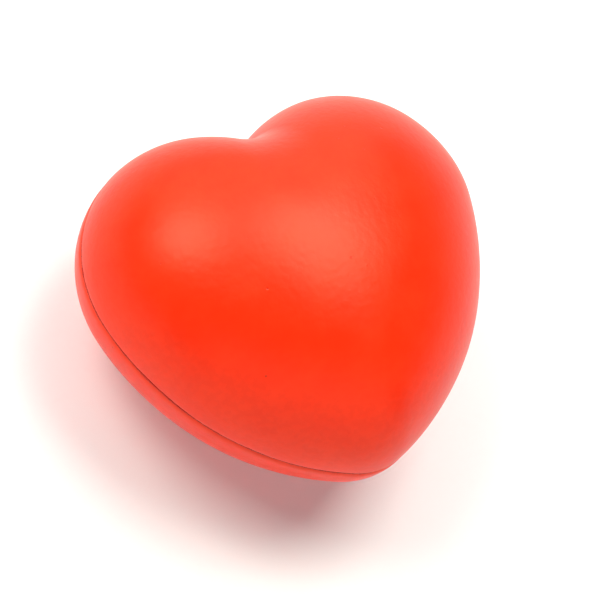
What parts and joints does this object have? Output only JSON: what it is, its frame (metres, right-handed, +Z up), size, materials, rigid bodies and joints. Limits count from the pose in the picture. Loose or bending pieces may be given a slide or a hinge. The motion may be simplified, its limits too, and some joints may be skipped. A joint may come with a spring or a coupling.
{
  "type": "foam heart stress ball",
  "caption": "Puffed heart of soft moulded foam with a satin skin, squeezed in the palm and springing back when let go.",
  "frame": {"origin": "middle of the small flat on which the heart rests, on its back", "axes": "+X across the two lobes, +Y from the tip to the cleft, +Z up through the thickness; the heart mirrors in the YZ plane"},
  "size_m": [0.07, 0.0624, 0.0453],
  "materials": {
    "skin": "satin sprayed polyurethane skin, saturated red",
    "foam": "open-cell flexible foam, paler red",
    "flash": "trimmed foam fin, darker red"
  },
  "bodies": {
    "back_half": {"back_skin": "skin"},
    "middle": {"foam_core": "foam", "seam_flash": "flash"},
    "front_half": {"front_skin": "skin"}
  },
  "joints": [
    {"name": "squeeze", "type": "slide", "parent": "back_half", "child": "front_half", "axis": [0, 0, -1], "range_m": [0, 0.02], "stiffness_N_per_m": 1800, "deforming": ["front_skin", "back_skin"]},
    {"name": "core_follow", "type": "slide", "parent": "back_half", "child": "middle", "axis": [0, 0, -1], "range_m": [0, 0.01], "deforming": ["foam_core", "seam_flash"]}
  ],
  "couplings": [
    {"joint": "core_follow", "follows": "squeeze", "ratio": 0.5}
  ]
}
